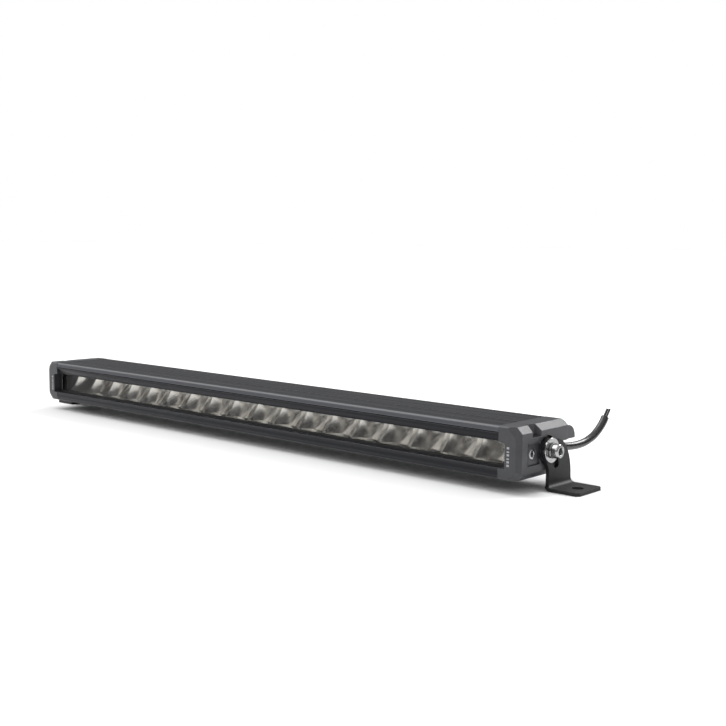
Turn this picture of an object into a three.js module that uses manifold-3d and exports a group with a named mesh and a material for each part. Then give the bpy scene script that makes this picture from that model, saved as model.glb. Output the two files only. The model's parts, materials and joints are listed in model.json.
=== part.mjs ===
// Slim single-row LED light bar with tilting end brackets.
// Millimetres, +Z up. The bar lies along X, the lens faces -Y, and the two bracket feet stand on z = 0.
//
// Everything is drawn in bar coordinates: x along the bar from its middle, y as the depth behind the
// front face, z above the underside. One group then moves the whole bar onto its feet.

import * as THREE from 'three';
import { mergeVertices } from 'three/addons/utils/BufferGeometryUtils.js';
import Module from 'manifold-3d';

const wasm = await Module();
wasm.setup();

// ---------------------------------------------------------------- driving dimensions

const CELLS = 18;
const CELL_PITCH = 29.9;
const FRONT_HALF = 284;            // half the length of the flat front face
const HEIGHT = 38;
const MIDDLE = HEIGHT / 2;
const COVER_DEPTH = 62;
const FOOT_DROP = 10;              // clear height between the bar and the surface under the feet
const HOOD = { x: [FRONT_HALF - 12, FRONT_HALF + 2], rear: 74.5, z: [22.8, 32.8] };
const DEPTH_CENTRE = HOOD.rear / 2;
const FIT = 0.2;                   // clearance between pieces that sit against each other

const SIDE = FRONT_HALF + 3.6;     // outer side face of an end cover
const COVER_INNER = FRONT_HALF - 14.2;
const CHAMFER = 4.6;

const EXTRUSION_HALF = FRONT_HALF - 14.5;
const EXTRUSION_DEPTH = 60;
const EXTRUSION_Z = [0.2, 37.8];

const WINDOW_HALF = FRONT_HALF - 9;
const WINDOW_BOTTOM = 8.1;         // between the housing's lips
const WINDOW_TOP = 26.4;
const WINDOW_Z = [10.0, 26.1];     // between the edges of the lens gasket
const LENS = { half: WINDOW_HALF - 0.3, y: [7.4, 10.2], z: [6.9, 31.9] };
const LENS_POCKET = { y: [6.3, 11], z: [6.6, 32.2] };

const FOCAL = 9;
const REFLECTOR = { vertex: 34.3, wall: 1.8, front: 12, z: [8.2, 31.0] };
const CEILING = { y: [17.7, 36], z: [30.9, 32.2], hole: 3, flange: 11.8 };
const REFLECTOR_FLOOR = { y: [REFLECTOR.front, 22.4], z: [REFLECTOR.z[0], 9.2] };
const MODULES = 3;

const PIVOT = { y: 34.5, z: MIDDLE };
const SLOT_END = { y: 43.0, z: 8.3 };
const SLOT_WIDTH = 6.6;
const PLATE = 2.5;
const BRACKET = {
  inner: SIDE + FIT, footY: [30.6, 63], legFront: 33.6, footLength: 28.4, headRadius: 8.5, bend: 6.2,
};
const FOOT_HOLE = { radius: 4.25, outward: 18.8, y: 45.6 };

const BOLT = { radius: 3, headRadius: 5.2, headLength: 5, shoulder: 1.4, reach: 16.6, socket: 5 };
const FLAT_WASHER = { outer: 9, inner: 3.3, thick: 1.6 };
const SPRING_WASHER = { outer: 5.6, inner: 3.3, thick: 1.5, gap: 1 };

const RECESS = { radius: 10.5, depth: 2, bossRadius: 6 };
const INSERT = { radius: 4.4 };
const COVER_SCREWS = [{ y: 18.2, z: 17.8, pocket: 1.4 }, { y: 52, z: 7.5, pocket: 0 }];
const COVER_SCREW = { shank: 1.9, head: 3.9, headDepth: 2.2, length: 15, socket: 2.6 };
const PORTS = [{ y: 14.4, z: 5.4 }, { y: 14.2, z: 32.4 }, { y: 41, z: 6.2 }, { y: 41, z: 31.8 }];

const GLAND = { x: FRONT_HALF - 6.6, z: 16.5, wallY: [50, 53], bore: 3.3, mouth: 63.2 };
const CABLE_RADIUS = 3;
const WIRE_RADIUS = 0.85;

// The cable's centre line from inside the cover to the end of its jacket, as x, y, z.
const CABLE_ROUTE = [
  [277.4, 47.0, 16.5], [277.4, 52.0, 16.5], [277.4, 57.5, 16.5], [277.4, 63.2, 16.3],
  [277.5, 69.0, 15.6], [277.8, 75.0, 14.8], [278.2, 81.0, 14.3], [278.6, 87.0, 14.1],
  [279.1, 93.0, 14.3], [279.7, 99.0, 15.1], [280.3, 104.8, 16.7], [280.9, 110.2, 18.9],
  [281.4, 115.0, 21.9], [281.8, 119.2, 25.3], [282.0, 122.4, 28.4], [282.1, 124.9, 31.6],
];
const WIRE_LENGTH = 7;

// ---------------------------------------------------------------- materials

function finish(color, roughness, metalness, extra = {}) {
  return new THREE.MeshStandardMaterial({ color, roughness, metalness, ...extra });
}

const anodised = finish(0x3b3c40, 0.5, 0.6);
const coverPaint = finish(0x46474b, 0.5, 0.4);
const bracketPaint = finish(0x2a2b2e, 0.55, 0.3);
const stainless = finish(0xc8c9cc, 0.25, 1.0);
const brass = finish(0xb08d4a, 0.35, 1.0);
const clearLens = finish(0xe8eef0, 0.05, 0.0, { transparent: true, opacity: 0.25 });
const mirrorCoat = finish(0xdfe2e4, 0.08, 1.0);
const silicone = finish(0x101012, 0.8, 0.0);
const board = finish(0xf2f2ee, 0.6, 0.0);
const circuitGreen = finish(0x1e5a38, 0.6, 0.0);
const ledYellow = finish(0xf2d24a, 0.4, 0.0);
const darkPlastic = finish(0x17181a, 0.5, 0.0);
const cableJacket = finish(0x0c0c0e, 0.3, 0.0);

// ---------------------------------------------------------------- solid modelling helpers

function toSolid(geometry) {
  const plain = (geometry.index ? geometry.toNonIndexed() : geometry).clone();
  plain.deleteAttribute('normal');
  plain.deleteAttribute('uv');
  const merged = mergeVertices(plain, 1e-4);
  return new wasm.Manifold(new wasm.Mesh({
    numProp: 3,
    vertProperties: new Float32Array(merged.attributes.position.array),
    triVerts: new Uint32Array(merged.index.array),
  }));
}

function toGeometry(solid) {
  const mesh = solid.getMesh();
  const geometry = new THREE.BufferGeometry();
  geometry.setAttribute('position', new THREE.BufferAttribute(mesh.vertProperties, 3));
  geometry.setIndex(new THREE.BufferAttribute(mesh.triVerts, 1));
  return geometry;
}

// The same geometry on the other end of the bar, with its faces turned the right way out again.
function mirrored(geometry) {
  const other = (geometry.index ? geometry : mergeVertices(geometry, 1e-4)).clone();
  other.scale(-1, 1, 1);
  const index = Array.from(other.index.array);
  for (let i = 0; i < index.length; i += 3) {
    [index[i], index[i + 1]] = [index[i + 1], index[i]];
  }
  other.setIndex(index);
  return other;
}

function shapeOf(points) {
  return new THREE.Shape(points.map(([a, b]) => new THREE.Vector2(a, b)));
}

function extrude(shape, length, curveSegments = 12) {
  return new THREE.ExtrudeGeometry(shape, { depth: length, bevelEnabled: false, curveSegments });
}

// Prisms: an outline in two of the bar's axes, drawn out along the third.
const AXES = {
  x: [new THREE.Vector3(0, 1, 0), new THREE.Vector3(0, 0, 1), new THREE.Vector3(1, 0, 0)],   // outline (y, z)
  y: [new THREE.Vector3(0, 0, 1), new THREE.Vector3(1, 0, 0), new THREE.Vector3(0, 1, 0)],   // outline (z, x)
  z: [new THREE.Vector3(1, 0, 0), new THREE.Vector3(0, 1, 0), new THREE.Vector3(0, 0, 1)],   // outline (x, y)
};

function prism(axis, outline, from, to, curveSegments) {
  const shape = outline instanceof THREE.Shape ? outline : shapeOf(outline);
  const geometry = extrude(shape, to - from, curveSegments);
  geometry.translate(0, 0, from);
  geometry.applyMatrix4(new THREE.Matrix4().makeBasis(...AXES[axis]));
  return geometry;
}

function box(x, y, z) {
  const geometry = new THREE.BoxGeometry(x[1] - x[0], y[1] - y[0], z[1] - z[0]);
  geometry.translate((x[0] + x[1]) / 2, (y[0] + y[1]) / 2, (z[0] + z[1]) / 2);
  return geometry;
}

// A turned piece about an axis parallel to X or Y. The profile is [radius, distance along the axis].
function turned(axis, profile, segments, centre) {
  const geometry = new THREE.LatheGeometry(profile.map(([r, t]) => new THREE.Vector2(r, t)), segments);
  if (axis === 'x') {
    geometry.rotateZ(-Math.PI / 2);
  }
  geometry.translate(...centre);
  return geometry;
}

function rod(axis, radius, from, to, segments, centre) {
  return turned(axis, [[0, from], [radius, from], [radius, to], [0, to]], segments, centre);
}

function ring(axis, outer, inner, from, to, segments, centre) {
  const profile = [[inner, from], [outer, from], [outer, to], [inner, to], [inner, from]];
  return turned(axis, profile, segments, centre);
}

function cut(base, ...tools) {
  return tools.reduce((solid, tool) => solid.subtract(toSolid(tool)), base);
}

function join(base, ...extras) {
  return extras.reduce((solid, extra) => solid.add(toSolid(extra)), base);
}

// ---------------------------------------------------------------- housing

// The extruded section: a lipped front opening with a lens slot, a sealed cavity and rear cooling fins.
function housingOutline() {
  const [bottom, top] = EXTRUSION_Z;
  const groove = (y, width, depth) => [
    [y - width / 2, top], [y - width / 4, top - depth], [y + width / 4, top - depth], [y + width / 2, top],
  ];
  const upperLip = [
    [4.2, WINDOW_TOP], [0, 32.9], [2.4, 32.9], [2.4, 33.6],
    [0, 33.6], [0.3, 36.6], [0.9, 37.4], [1.9, top],
  ];
  const topFace = [...groove(10, 1.2, 0.5), ...groove(25, 2.6, 1.1), ...groove(55.5, 2.6, 1.1)];
  const fins = [];
  const finCount = 7;
  const finThick = 2.6;
  const finRoot = 49;
  const finPitch = (top - bottom - finThick) / (finCount - 1);
  for (let i = finCount - 1; i > 0; i -= 1) {
    const underside = bottom + i * finPitch;
    const nextTop = underside - finPitch + finThick;
    fins.push([EXTRUSION_DEPTH, underside], [finRoot, underside - 0.4]);
    fins.push([finRoot, nextTop + 0.4], [EXTRUSION_DEPTH, nextTop]);
  }
  const underside = [[EXTRUSION_DEPTH, bottom], [1.0, bottom], [0, 1.2]];
  const lowerLip = [
    [0, 3.4], [0.5, WINDOW_BOTTOM], [6.4, WINDOW_BOTTOM], [6.4, 6.6], [10.4, 6.6], [10.4, 8.0], [11.4, 8.0],
  ];
  const cavity = [
    [11.4, 7.8], [17.4, 7.8], [17.4, 3.0], [38, 3.0], [38, 9.0], [44, 9.0], [44, 29.0], [38, 29.0],
    [38, 34.4], [17.4, 34.4], [17.4, 30.2], [10.4, 30.2], [10.4, 32.2], [6.4, 32.2], [6.4, WINDOW_TOP],
  ];
  return [...upperLip, ...topFace, [EXTRUSION_DEPTH, top], ...fins, ...underside, ...lowerLip, ...cavity];
}

function housingExtrusion() {
  const blank = toSolid(prism('x', housingOutline(), -EXTRUSION_HALF, EXTRUSION_HALF));
  const screwHoles = PORTS.map(({ y, z }) => (
    rod('x', 1.5, -EXTRUSION_HALF - 1, EXTRUSION_HALF + 1, 12, [0, y, z])
  ));
  return toGeometry(cut(blank, ...screwHoles));
}

function lens() {
  const corner = 0.5;
  const [y0, y1] = LENS.y;
  const [z0, z1] = LENS.z;
  const outline = [
    [y0, z0 + corner], [y0 + corner, z0], [y1 - corner, z0], [y1, z0 + corner],
    [y1, z1 - corner], [y1 - corner, z1], [y0 + corner, z1], [y0, z1 - corner],
  ];
  return prism('x', outline, -LENS.half, LENS.half);
}

// A flat silicone frame between the lips of the housing and the lens.
function lensGasket() {
  const y = [6.6, LENS.y[0] - 0.1];
  const rim = 2.4;
  const frame = toSolid(box([-LENS.half, LENS.half], y, LENS.z));
  const opening = LENS.half - rim;
  const inside = box([-opening, opening], [y[0] - 1, y[1] + 1], WINDOW_Z);
  return toGeometry(cut(frame, inside));
}

// ---------------------------------------------------------------- optics and electronics

// The bowl of one cell: everything inside a paraboloid about a level axis at the LED's height.
function bowl(centreX, vertex) {
  const rings = 4;
  const reach = vertex - REFLECTOR.front + 3;
  const profile = [];
  for (let i = 0; i <= rings; i += 1) {
    const radius = Math.sqrt(4 * FOCAL * reach) * (i / rings);
    profile.push([radius, -(radius * radius) / (4 * FOCAL)]);
  }
  profile.push([0, -reach]);
  const whole = toSolid(turned('y', profile.reverse(), 16, [centreX, vertex, REFLECTOR.z[1]]));
  const half = CELL_PITCH / 2 + 0.02;
  const cell = box([centreX - half, centreX + half], [REFLECTOR.front, vertex + 1], REFLECTOR.z);
  return whole.intersect(toSolid(cell));
}

function cellCentre(index) {
  return (index - (CELLS - 1) / 2) * CELL_PITCH;
}

// The metallised ceiling over a module's bowls, with a hole for each LED.
function reflectorCeiling(fromX, toX, middles) {
  const { y, z, hole } = CEILING;
  const plate = toSolid(box([fromX, toX], y, z));
  return cut(plate, ...middles.map((x) => {
    const circle = new THREE.Shape();
    circle.absarc(x, REFLECTOR.vertex - FOCAL, hole, 0, Math.PI * 2, false);
    return prism('z', circle, z[0] - 1, z[1] + 1, 9);
  }));
}

// The stepped flange that carries the ceiling forward under the top of the lens pocket.
function ceilingFlange(fromX, toX) {
  const { y: [rear], z: [low, high], flange } = CEILING;
  const thick = 1;
  const under = 29;
  const outline = [
    [flange, under], [rear + thick, under], [rear + thick, (low + high) / 2],
    [rear, (low + high) / 2], [rear, under + thick], [flange, under + thick],
  ];
  return prism('x', outline, fromX, toX);
}

function reflectorModule(index) {
  const perModule = CELLS / MODULES;
  let shell = null;
  let hollow = null;
  const middles = [];
  for (let i = 0; i < perModule; i += 1) {
    const x = cellCentre(index * perModule + i);
    middles.push(x);
    const outside = bowl(x, REFLECTOR.vertex + REFLECTOR.wall);
    const inside = bowl(x, REFLECTOR.vertex);
    shell = shell ? shell.add(outside) : outside;
    hollow = hollow ? hollow.add(inside) : inside;
  }
  const firstEdge = cellCentre(index * perModule) - CELL_PITCH / 2;
  const lastEdge = firstEdge + perModule * CELL_PITCH;
  const trim = box([firstEdge + FIT / 2, lastEdge - FIT / 2], [0, COVER_DEPTH], [0, HEIGHT]);
  const ceiling = join(reflectorCeiling(firstEdge, lastEdge, middles), ceilingFlange(firstEdge, lastEdge));
  const floor = box([firstEdge, lastEdge], REFLECTOR_FLOOR.y, REFLECTOR_FLOOR.z);
  const open = join(shell.subtract(hollow), floor);
  return toGeometry(open.add(ceiling).intersect(toSolid(trim)));
}

function ledPackage(index) {
  const focusY = REFLECTOR.vertex - FOCAL;
  const base = 32.5;
  const dome = [[0, -1.9], [1.2, -1.5], [1.7, -0.6], [2.4, -0.6], [2.4, 0], [0, 0]];
  const geometry = new THREE.LatheGeometry(dome.map(([r, t]) => new THREE.Vector2(r, t)), 8);
  geometry.rotateX(Math.PI / 2);
  geometry.translate(cellCentre(index), focusY, base);
  return geometry;
}

function ledBoard() {
  const half = (CELLS * CELL_PITCH) / 2 - 1;
  return box([-half, half], [18, 37.4], [32.7, 34.2]);
}

const DRIVER = { x: [150, 262], y: [42.2, 43.8], z: [9.6, 28.4] };

function driverBoard() {
  return box(DRIVER.x, DRIVER.y, DRIVER.z);
}

function driverInductor() {
  return rod('y', 5.5, 37.4, 42, 16, [178, 0, MIDDLE]);
}

// ---------------------------------------------------------------- ends

function endPlateOutline() {
  return [[11.1, 1.8], [47.4, 1.8], [47.4, 35.8], [11.1, 35.8]];
}

function endGasket() {
  const from = EXTRUSION_HALF + FIT;
  const frame = toSolid(prism('x', endPlateOutline(), from, from + 1));
  const opening = box([from - 1, from + 2], [19, 36], [5, 33]);
  const holes = PORTS.map(({ y, z }) => rod('x', 1.8, from - 1, from + 2, 12, [0, y, z]));
  return toGeometry(cut(frame, opening, ...holes));
}

function endPlate() {
  const from = EXTRUSION_HALF + 1 + 2 * FIT;
  const blank = toSolid(prism('x', endPlateOutline(), from, from + 3));
  const holes = PORTS.map(({ y, z }) => rod('x', 1.8, from - 1, from + 4, 12, [0, y, z]));
  const screwEntry = rod('x', 2.3, from - 1, from + 4, 12, [0, COVER_SCREWS[0].y, COVER_SCREWS[0].z]);
  const cableEntry = rod('x', 5, from - 1, from + 4, 16, [0, 30, MIDDLE]);
  return toGeometry(cut(blank, ...holes, screwEntry, cableEntry));
}

function plateScrew({ y, z }) {
  const seat = EXTRUSION_HALF + 4 + 3 * FIT;
  const profile = [
    [0, seat - 12], [1.2, seat - 12], [1.2, seat], [2.7, seat], [2.7, seat + 1.2], [2.0, seat + 1.9],
    [0, seat + 1.9],
  ];
  return turned('x', profile, 8, [0, y, z]);
}

// The rounded hood at the rear of a cover, over the cable gland or the vent.
function rearHood() {
  const { x, rear, z: [low, high] } = HOOD;
  const outline = [
    [58, low], [rear - 0.6, low], [rear, low + 0.6], [rear - 0.3, low + 3.4], [rear - 2, low + 6.6],
    [rear - 4.4, low + 8.8], [rear - 8, high], [58, high],
  ];
  return prism('x', outline, x[0], x[1]);
}

// A small moulded eye below the hood, for a cable tie.
const TIE_EYE = { x: [FRONT_HALF - 1.4, FRONT_HALF + 0.8], y: 66, z: 11.2, outer: 2.4, hole: 1.1 };

function tieEye() {
  const { x, y, z, outer, hole } = TIE_EYE;
  const neck = box(x, [60, y], [z - outer * 0.7, z + outer * 0.7]);
  const lug = join(toSolid(rod('x', outer, x[0], x[1], 20, [0, y, z])), neck);
  return toGeometry(cut(lug, rod('x', hole, x[0] - 1, x[1] + 1, 12, [0, y, z])));
}

const FACET_DEPTH = 2.9;
const SIDE_FACET = SIDE - FRONT_HALF;
const CORNER_FACET = 4.8;

// A flat cut along one edge of a cover's front: its outline is (out past the face, depth), on a face through
// the origin, and it is then turned about Y and moved out to the real face.
function frontEdgeCut(inset, degrees, faceX, faceZ) {
  const past = 1;
  const slope = FACET_DEPTH / inset;
  const outline = [[-inset - past, -past * slope], [past, -past * slope], [past, FACET_DEPTH + past * slope]];
  const geometry = prism('z', outline, -40, 40);
  geometry.rotateY(THREE.MathUtils.degToRad(degrees));
  geometry.translate(faceX, 0, faceZ);
  return geometry;
}

function coverOutline() {
  return [
    [0, 1.0], [0.8, 0.3], [2.4, 0], [60, 0], [COVER_DEPTH, 2], [COVER_DEPTH, 36], [60, HEIGHT],
    [2.4, HEIGHT], [0.8, HEIGHT - 0.3], [0, HEIGHT - 1],
  ];
}

// The long bevels along a cover's upper and lower outer corners, as (z, x).
function cornerChamfers() {
  const past = 1;
  const top = [
    [HEIGHT + past, SIDE - CHAMFER - past],
    [HEIGHT + past, SIDE + past],
    [HEIGHT - CHAMFER - past, SIDE + past],
  ];
  const bottom = top.map(([z, x]) => [HEIGHT - z, x]).reverse();
  return [prism('y', top, -5, COVER_DEPTH + 1), prism('y', bottom, -5, COVER_DEPTH + 1)];
}

function frontFacets() {
  const middle = SIDE - CHAMFER / 2;
  return [
    frontEdgeCut(SIDE_FACET, 0, SIDE, MIDDLE),
    frontEdgeCut(CORNER_FACET, -45, middle, HEIGHT - CHAMFER / 2),
    frontEdgeCut(CORNER_FACET, 45, middle, CHAMFER / 2),
  ];
}

function rearFacet() {
  const back = COVER_DEPTH + 0.8;
  const outline = [[FRONT_HALF - 1, back], [SIDE + 1, COVER_DEPTH - 3.7], [SIDE + 1, back]];
  return prism('z', outline, -1, HOOD.z[0] + 0.1);
}

// What is hollow inside a cover: the cable space, the end of the window and the end of the lens.
function coverHollows() {
  const inner = COVER_INNER - 1;
  return [
    box([inner, FRONT_HALF - 3.4], [10.9, GLAND.wallY[0]], [1.5, 36.2]),
    box([inner, WINDOW_HALF], [-1, LENS_POCKET.y[1]], [WINDOW_BOTTOM, WINDOW_TOP]),
    box([inner, WINDOW_HALF], LENS_POCKET.y, LENS_POCKET.z),
  ];
}

// The round recess that the bracket's boss stands in, and the bore for the threaded insert.
function pivotCuts() {
  const centre = [0, PIVOT.y, PIVOT.z];
  return [
    ring('x', RECESS.radius, RECESS.bossRadius, SIDE - RECESS.depth, SIDE + 1, 32, centre),
    rod('x', INSERT.radius + 0.3, FRONT_HALF - 9, SIDE + 1, 24, centre),
  ];
}

function screwPocket() {
  const floor = SIDE - COVER_SCREWS[0].pocket;
  const outline = [[SIDE + 1, 9.4], [SIDE, 9.8], [floor, 13.2], [floor, 25.5], [SIDE + 1, 25.5]];
  return prism('z', outline, 10, 25.6);
}

function topNotch() {
  const outline = [[SIDE - 7.4, 16.6], [SIDE + 1, 15.4], [SIDE + 1, 27.4], [SIDE - 4.8, 24.9]];
  return prism('z', outline, 29.6, HEIGHT + 1);
}

function glandCuts() {
  const { x, z, wallY } = GLAND;
  return [
    box([FRONT_HALF - 13, SIDE + 1], [wallY[1], COVER_DEPTH + 1], [10, HOOD.z[0]]),
    rod('y', 4.4, wallY[0] - 1, wallY[1] + 1, 20, [x, 0, z]),
  ];
}

function endCover() {
  const block = join(toSolid(prism('x', coverOutline(), COVER_INNER, SIDE)), rearHood(), tieEye());
  const shaped = cut(block, ...cornerChamfers(), ...frontFacets(), rearFacet());
  const insertBoss = rod('x', 7, FRONT_HALF - 8, FRONT_HALF - 3, 24, [0, PIVOT.y, PIVOT.z]);
  const hollowed = join(cut(shaped, ...coverHollows()), insertBoss);
  return toGeometry(cut(
    hollowed,
    ...pivotCuts(),
    screwPocket(),
    topNotch(),
    ...COVER_SCREWS.map(countersink),
    ...glandCuts(),
  ));
}

function screwFace({ pocket }) {
  return SIDE - pocket;
}

function countersink(screw) {
  const { shank, head, headDepth } = COVER_SCREW;
  const face = screwFace(screw);
  const from = FRONT_HALF - 16;
  const profile = [
    [0, from], [shank + 0.4, from], [shank + 0.4, face - headDepth], [head + 0.4, face],
    [head + 0.4, face + 3], [0, face + 3],
  ];
  return turned('x', profile, 24, [0, screw.y, screw.z]);
}

function hexSocket(acrossFlats, from, to, y, z) {
  const cornerRadius = acrossFlats / 2 / Math.cos(Math.PI / 6);
  return rod('x', cornerRadius, from, to, 6, [0, y, z]);
}

function coverScrew(screw) {
  const { shank, head, headDepth, length, socket } = COVER_SCREW;
  const face = screwFace(screw) - 0.1;
  const profile = [
    [0, face - length], [shank, face - length], [shank, face - headDepth], [head, face - 0.3], [head, face],
    [0, face],
  ];
  const body = toSolid(turned('x', profile, 24, [0, screw.y, screw.z]));
  return toGeometry(cut(body, hexSocket(socket, face - 1.6, face + 1, screw.y, screw.z)));
}

function threadedInsert() {
  const centre = [0, PIVOT.y, PIVOT.z];
  return ring('x', INSERT.radius, BOLT.radius + 0.3, FRONT_HALF - 7.6, SIDE - 0.4, 24, centre);
}

// ---------------------------------------------------------------- bracket and its fastener

// The upright leg seen from the end of the bar: a round head on the bolt and a bowed rear edge.
function legOutline() {
  const { headRadius, footY: [front, rear], legFront } = BRACKET;
  const below = -FOOT_DROP - 1;
  const outline = new THREE.Shape();
  outline.moveTo(front, below);
  outline.lineTo(rear, below);
  outline.lineTo(rear, -4);
  outline.quadraticCurveTo(63.2, 9.6, 56.2, 19.2);
  outline.quadraticCurveTo(50.2, 26.8, PIVOT.y + headRadius * 0.42, PIVOT.z + headRadius * 0.907);
  outline.absarc(PIVOT.y, PIVOT.z, headRadius, Math.PI * 0.362, Math.PI * 1.1, false);
  outline.quadraticCurveTo(legFront - 4.4, 12.4, legFront, 5);
  outline.lineTo(legFront, -3);
  outline.quadraticCurveTo(legFront, -6.6, front, -7.2);
  outline.closePath();
  return outline;
}

// The plate's section across the bend, as z, x.
function bentPlate() {
  const { inner, footLength, bend } = BRACKET;
  const legTop = 30;
  const bendX = inner + bend;
  const bendZ = -FOOT_DROP + bend;
  const section = new THREE.Shape();
  section.moveTo(legTop, inner);
  section.lineTo(bendZ, inner);
  section.absarc(bendZ, bendX, bend, -Math.PI / 2, -Math.PI, true);
  section.lineTo(-FOOT_DROP, inner + footLength);
  section.lineTo(-FOOT_DROP + PLATE, inner + footLength);
  section.lineTo(-FOOT_DROP + PLATE, bendX);
  section.absarc(bendZ, bendX, bend - PLATE, -Math.PI, -Math.PI / 2, false);
  section.lineTo(legTop, inner + PLATE);
  section.closePath();
  return section;
}

function slotCutter() {
  const run = new THREE.Vector2(SLOT_END.y - PIVOT.y, SLOT_END.z - PIVOT.z);
  const angle = run.angle();
  const half = SLOT_WIDTH / 2;
  const outline = new THREE.Shape();
  outline.absarc(PIVOT.y, PIVOT.z, half, angle + Math.PI / 2, angle + (3 * Math.PI) / 2, false);
  outline.absarc(SLOT_END.y, SLOT_END.z, half, angle - Math.PI / 2, angle + Math.PI / 2, false);
  outline.closePath();
  return prism('x', outline, BRACKET.inner - 1, BRACKET.inner + PLATE + 1, 12);
}

// The triangle that comes off one outer corner of the foot.
function footCorner(y, inward) {
  const end = BRACKET.inner + BRACKET.footLength;
  const size = 3;
  const outline = [[end - size, y - inward], [end + 1, y - inward], [end + 1, y + inward * size]];
  return prism('z', inward > 0 ? outline : outline.reverse(), -FOOT_DROP - 1, -FOOT_DROP + PLATE + 1);
}

function footHole() {
  const circle = new THREE.Shape();
  circle.absarc(BRACKET.inner + FOOT_HOLE.outward, FOOT_HOLE.y, FOOT_HOLE.radius, 0, Math.PI * 2, false);
  return prism('z', circle, -FOOT_DROP - 1, -FOOT_DROP + PLATE + 1, 16);
}

function bracket() {
  const { inner, footLength, footY: [front, rear] } = BRACKET;
  const bent = toSolid(prism('y', bentPlate(), front - 5, rear + 5, 8));
  const leg = toSolid(prism('x', legOutline(), inner - 1, inner + footLength + 1, 10));
  return toGeometry(cut(
    bent.intersect(leg),
    slotCutter(),
    footHole(),
    footCorner(front, 1),
    footCorner(rear, -1),
  ));
}

const WASHER_START = BRACKET.inner + PLATE + FIT;
const SPRING_START = WASHER_START + FLAT_WASHER.thick + FIT;
const HEAD_START = SPRING_START + SPRING_WASHER.thick + FIT;

function flatWasher() {
  const { outer, inner, thick } = FLAT_WASHER;
  return ring('x', outer, inner, WASHER_START, WASHER_START + thick, 32, [0, PIVOT.y, PIVOT.z]);
}

function springWasher() {
  const { outer, inner, thick, gap } = SPRING_WASHER;
  const { y, z } = PIVOT;
  const whole = toSolid(ring('x', outer, inner, SPRING_START, SPRING_START + thick, 32, [0, y, z]));
  const through = [SPRING_START - 1, SPRING_START + thick + 1];
  const slit = box(through, [y - gap / 2, y + gap / 2], [z, z + outer + 1]);
  return toGeometry(cut(whole, slit));
}

// A socket-head screw with a rounded shoulder. Its shank has no thread.
function pivotBolt() {
  const { radius, headRadius, headLength, shoulder, reach, socket } = BOLT;
  const tip = HEAD_START - reach;
  const end = HEAD_START + headLength;
  const profile = [
    [0, tip], [radius - 0.5, tip], [radius, tip + 0.6], [radius, HEAD_START],
    [headRadius, HEAD_START], [headRadius, end - shoulder],
    [headRadius - shoulder * 0.3, end - shoulder * 0.4], [headRadius - shoulder, end], [0, end],
  ];
  const body = toSolid(turned('x', profile, 32, [0, PIVOT.y, PIVOT.z]));
  return toGeometry(cut(body, hexSocket(socket, end - 3, end + 1, PIVOT.y, PIVOT.z)));
}

// ---------------------------------------------------------------- cable

function cableGland() {
  const { x, z, wallY, bore, mouth } = GLAND;
  const inner = wallY[0] + 0.1;
  const seat = wallY[1] + 0.3;
  const sleeve = [
    [bore, inner], [4.1, inner], [4.1, seat], [5.2, seat], [5.2, 57.5], [4.9, 59.5], [4.1, mouth],
    [bore, mouth], [bore, inner],
  ];
  const nut = rod('y', 6.1, seat, 56.4, 6, [x, 0, z]);
  const body = join(toSolid(turned('y', sleeve, 24, [x, 0, z])), nut);
  return toGeometry(cut(body, rod('y', bore, wallY[0] - 1, mouth + 1, 24, [x, 0, z])));
}

function ventPlug() {
  const { x, z, wallY } = GLAND;
  const inner = wallY[0] + 0.1;
  const seat = wallY[1] + 0.3;
  const profile = [
    [0, inner], [4.1, inner], [4.1, seat], [5.6, seat], [5.6, 56.4], [4.8, 57.2], [0, 57.2],
  ];
  return turned('y', profile, 24, [x, 0, z]);
}

function circleSection(radius, sides) {
  const points = [];
  for (let i = 0; i < sides; i += 1) {
    const angle = (i / sides) * Math.PI * 2;
    points.push([radius * Math.cos(angle), radius * Math.sin(angle)]);
  }
  return shapeOf(points);
}

function tube(points, radius, sides, steps) {
  const path = new THREE.CatmullRomCurve3(points.map((p) => new THREE.Vector3(...p)), false, 'centripetal');
  const options = { extrudePath: path, steps, bevelEnabled: false };
  return new THREE.ExtrudeGeometry(circleSection(radius, sides), options);
}

function cable() {
  return tube(CABLE_ROUTE, CABLE_RADIUS, 14, 40);
}

// The two cores stand on from the cut end of the jacket, side by side.
function coreWire(side) {
  const end = new THREE.Vector3(...CABLE_ROUTE.at(-1));
  const before = new THREE.Vector3(...CABLE_ROUTE.at(-2));
  const along = end.clone().sub(before).normalize();
  const across = new THREE.Vector3(1, 0, 0).multiplyScalar(side * (WIRE_RADIUS + 0.15));
  const start = end.clone().addScaledVector(along, 0.4).add(across);
  const middle = start.clone().addScaledVector(along, WIRE_LENGTH / 2);
  const tip = start.clone().addScaledVector(along, WIRE_LENGTH);
  return tube([start, middle, tip].map((p) => p.toArray()), WIRE_RADIUS, 8, 3);
}

// ---------------------------------------------------------------- assembly

const lightBar = new THREE.Group();
lightBar.position.set(0, -DEPTH_CENTRE, FOOT_DROP);

function add(name, geometry, material) {
  const mesh = new THREE.Mesh(geometry, material);
  mesh.name = name;
  lightBar.add(mesh);
}

// One piece on the right end and its mirror image on the left.
function addPair(name, geometry, material) {
  add(`right_${name}`, geometry, material);
  add(`left_${name}`, mirrored(geometry), material);
}

add('housing_extrusion', housingExtrusion(), anodised);
add('lens', lens(), clearLens);
add('lens_gasket', lensGasket(), silicone);
for (let i = 0; i < MODULES; i += 1) {
  add(`reflector_module_${i + 1}`, reflectorModule(i), mirrorCoat);
}
add('led_board', ledBoard(), board);
for (let i = 0; i < CELLS; i += 1) {
  add(`led_${String(i + 1).padStart(2, '0')}`, ledPackage(i), ledYellow);
}
add('driver_board', driverBoard(), circuitGreen);
add('driver_inductor', driverInductor(), darkPlastic);

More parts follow.
